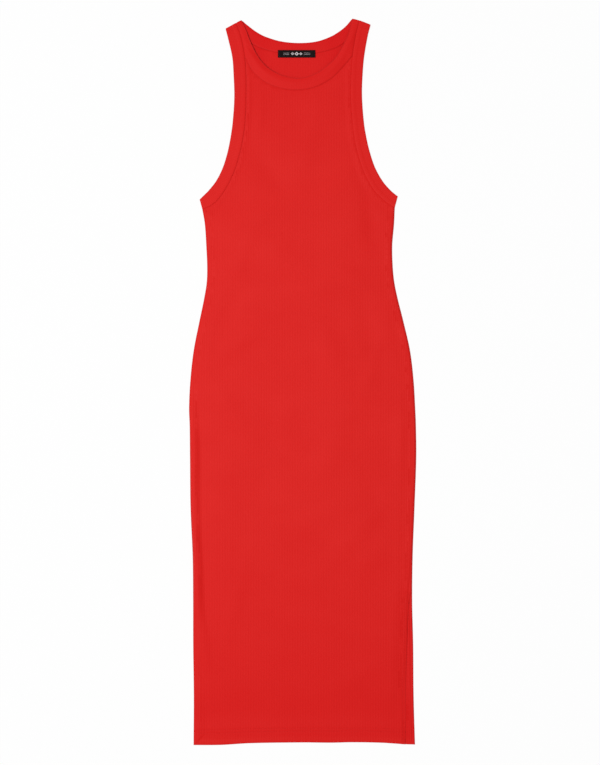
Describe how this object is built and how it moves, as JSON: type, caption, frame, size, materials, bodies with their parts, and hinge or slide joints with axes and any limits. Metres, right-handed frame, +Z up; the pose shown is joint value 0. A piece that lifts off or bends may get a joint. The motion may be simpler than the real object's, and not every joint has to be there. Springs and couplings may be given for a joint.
{
  "type": "bodycon dress",
  "caption": "Sleeveless round-neck bodycon midi dress in red stretch knit, laid flat, with bound neck and armholes and a slit at one side of the hem.",
  "frame": {"origin": "middle of the dress on the surface it lies on", "axes": "+X to the viewer's right as the dress is seen from above, +Y from the hem to the shoulders, +Z up off the surface, out of the dress's front"},
  "size_m": [0.3637, 1.1612, 0.0039],
  "materials": {
    "red_knit": "matt fine stretch knit",
    "label": "black woven ribbon"
  },
  "bodies": {
    "root": {"front_panel": "red_knit", "back_panel": "red_knit", "neck_band": "red_knit", "armhole_band_left": "red_knit", "armhole_band_right": "red_knit", "neck_label": "label"}
  },
  "joints": []
}
